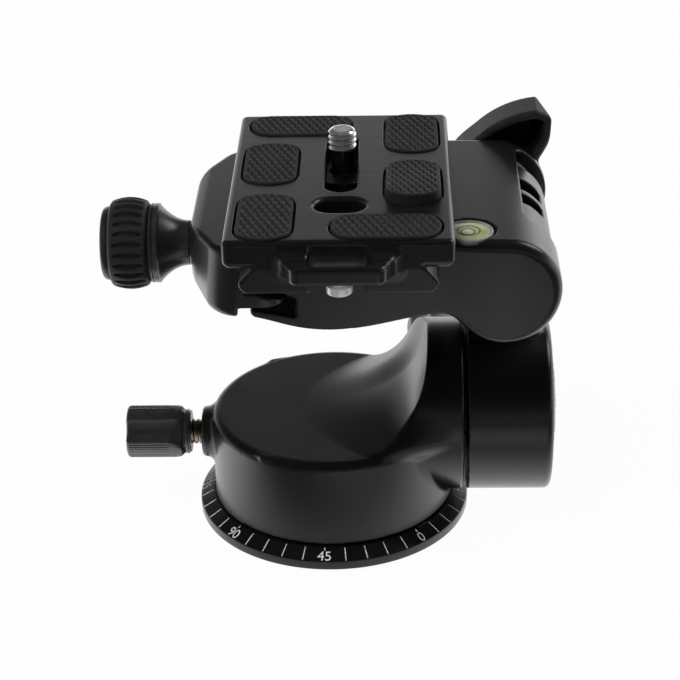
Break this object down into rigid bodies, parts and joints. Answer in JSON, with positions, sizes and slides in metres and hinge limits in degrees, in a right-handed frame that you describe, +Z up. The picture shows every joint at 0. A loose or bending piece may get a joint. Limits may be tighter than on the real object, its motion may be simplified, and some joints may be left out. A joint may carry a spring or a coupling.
{
  "type": "tripod head",
  "caption": "Compact tripod head with a graduated panning base, tilting arm and rolling platform, lock knobs, a lever and a clamp with a sliding quick-release plate.",
  "frame": {"origin": "centre of the base's underside, at the mouth of the tripod thread, on the pan axis", "axes": "+Z up along the pan axis, +X towards the tilt barrel and along the tilt axis, +Y to the rear and along the roll axis"},
  "size_m": [0.1048, 0.0905, 0.0898],
  "materials": {
    "black_metal": "black satin finish on cast and milled aluminium",
    "black_plastic": "matt black plastic",
    "grey_plastic": "grey plastic with dark marks",
    "white_plastic": "natural bearing plastic",
    "rubber": "black rubber with a fine mesh",
    "steel": "plain turned steel",
    "bright_steel": "bright plated steel",
    "brass": "turned brass",
    "vial": "clear plastic vial with green spirit"
  },
  "bodies": {
    "base": {"base_plate": "black_metal", "thread_insert": "steel", "friction_ring": "white_plastic"},
    "pan_body": {"body_casting": "black_metal", "retaining_screws": "steel", "pan_lock_bush": "brass", "tilt_lock_bush": "brass", "tilt_bush": "brass", "tilt_axle": "steel", "tilt_washer": "steel", "tilt_spring_washer": "steel"},
    "pan_shoe": {"pan_lock_shoe": "white_plastic"},
    "pan_knob": {"pan_lock_stud": "steel", "pan_lock_knob": "black_plastic"},
    "tilt_shoe": {"tilt_lock_shoe": "white_plastic"},
    "tilt_knob": {"tilt_lock_stud": "steel", "tilt_lock_knob": "black_plastic"},
    "arm": {"tilt_arm": "black_metal", "tilt_dial": "grey_plastic", "roll_bush_front": "brass", "roll_bush_rear": "brass"},
    "platform": {"platform_casting": "black_metal", "roll_bolt": "steel", "roll_washer_front": "white_plastic", "roll_washer_rear": "white_plastic", "level_vial": "vial"},
    "lever": {"roll_lever": "black_plastic", "lever_nut": "brass", "lever_screw": "steel"},
    "jaw": {"clamp_jaw": "black_metal", "jaw_pins": "steel"},
    "clamp_knob": {"clamp_screw": "steel", "knob_core": "black_metal", "knob_grip": "rubber", "knob_cap": "black_plastic"},
    "plate": {"plate_body": "black_metal", "stop_pins": "bright_steel", "pad_front_left": "rubber", "pad_mid_left": "rubber", "pad_rear_left": "rubber", "pad_rear_right": "rubber", "pad_mid_right": "rubber", "pad_front_right": "rubber"},
    "screw_carrier": {"screw_washer": "steel"},
    "screw": {"camera_screw": "bright_steel"}
  },
  "joints": [
    {"name": "pan", "type": "hinge", "parent": "base", "child": "pan_body", "pos_m": [0, 0, 0], "axis": [0, 0, 1], "continuous": true},
    {"name": "pan_shoe_slide", "type": "slide", "parent": "pan_body", "child": "pan_shoe", "axis": [-1, 0, 0], "range_m": [0, 0.001]},
    {"name": "pan_knob_turn", "type": "hinge", "parent": "pan_shoe", "child": "pan_knob", "pos_m": [-0.04, 0, 0.0186], "axis": [-1, 0, 0], "range_deg": [0, 360]},
    {"name": "tilt", "type": "hinge", "parent": "pan_body", "child": "arm", "pos_m": [0.03, 0, 0.0258], "axis": [1, 0, 0], "range_deg": [-30, 80]},
    {"name": "tilt_shoe_slide", "type": "slide", "parent": "pan_body", "child": "tilt_shoe", "axis": [0, 1, 0], "range_m": [0, 0.001]},
    {"name": "tilt_knob_turn", "type": "hinge", "parent": "tilt_shoe", "child": "tilt_knob", "pos_m": [0.0238, 0.03, 0.0258], "axis": [0, 1, 0], "range_deg": [0, 360]},
    {"name": "roll", "type": "hinge", "parent": "arm", "child": "platform", "pos_m": [0.0382, 0, 0.0657], "axis": [0, 1, 0], "range_deg": [-10, 90]},
    {"name": "lever_turn", "type": "hinge", "parent": "platform", "child": "lever", "pos_m": [0.0382, 0.038, 0.0657], "axis": [0, 1, 0], "range_deg": [0, 75]},
    {"name": "jaw_slide", "type": "slide", "parent": "platform", "child": "jaw", "axis": [-1, 0, 0], "range_m": [0, 0.004]},
    {"name": "clamp_knob_turn", "type": "hinge", "parent": "jaw", "child": "clamp_knob", "pos_m": [-0.04, 0, 0.067], "axis": [-1, 0, 0], "range_deg": [0, 1440]},
    {"name": "plate_slide", "type": "slide", "parent": "platform", "child": "plate", "axis": [0, 1, 0], "range_m": [-0.008, 0.008]},
    {"name": "screw_slide", "type": "slide", "parent": "plate", "child": "screw_carrier", "axis": [0, 1, 0], "range_m": [-0.0212, 0.0032]},
    {"name": "screw_turn", "type": "hinge", "parent": "screw_carrier", "child": "screw", "pos_m": [0.00327, 0.0117, 0.08], "axis": [0, 0, 1], "continuous": true}
  ],
  "couplings": [
    {"joint": "pan_knob_turn", "follows": "pan_shoe_slide", "rad_per_m": 6283.2},
    {"joint": "tilt_knob_turn", "follows": "tilt_shoe_slide", "rad_per_m": 6283.2},
    {"joint": "clamp_knob_turn", "follows": "jaw_slide", "rad_per_m": 6283.2}
  ]
}
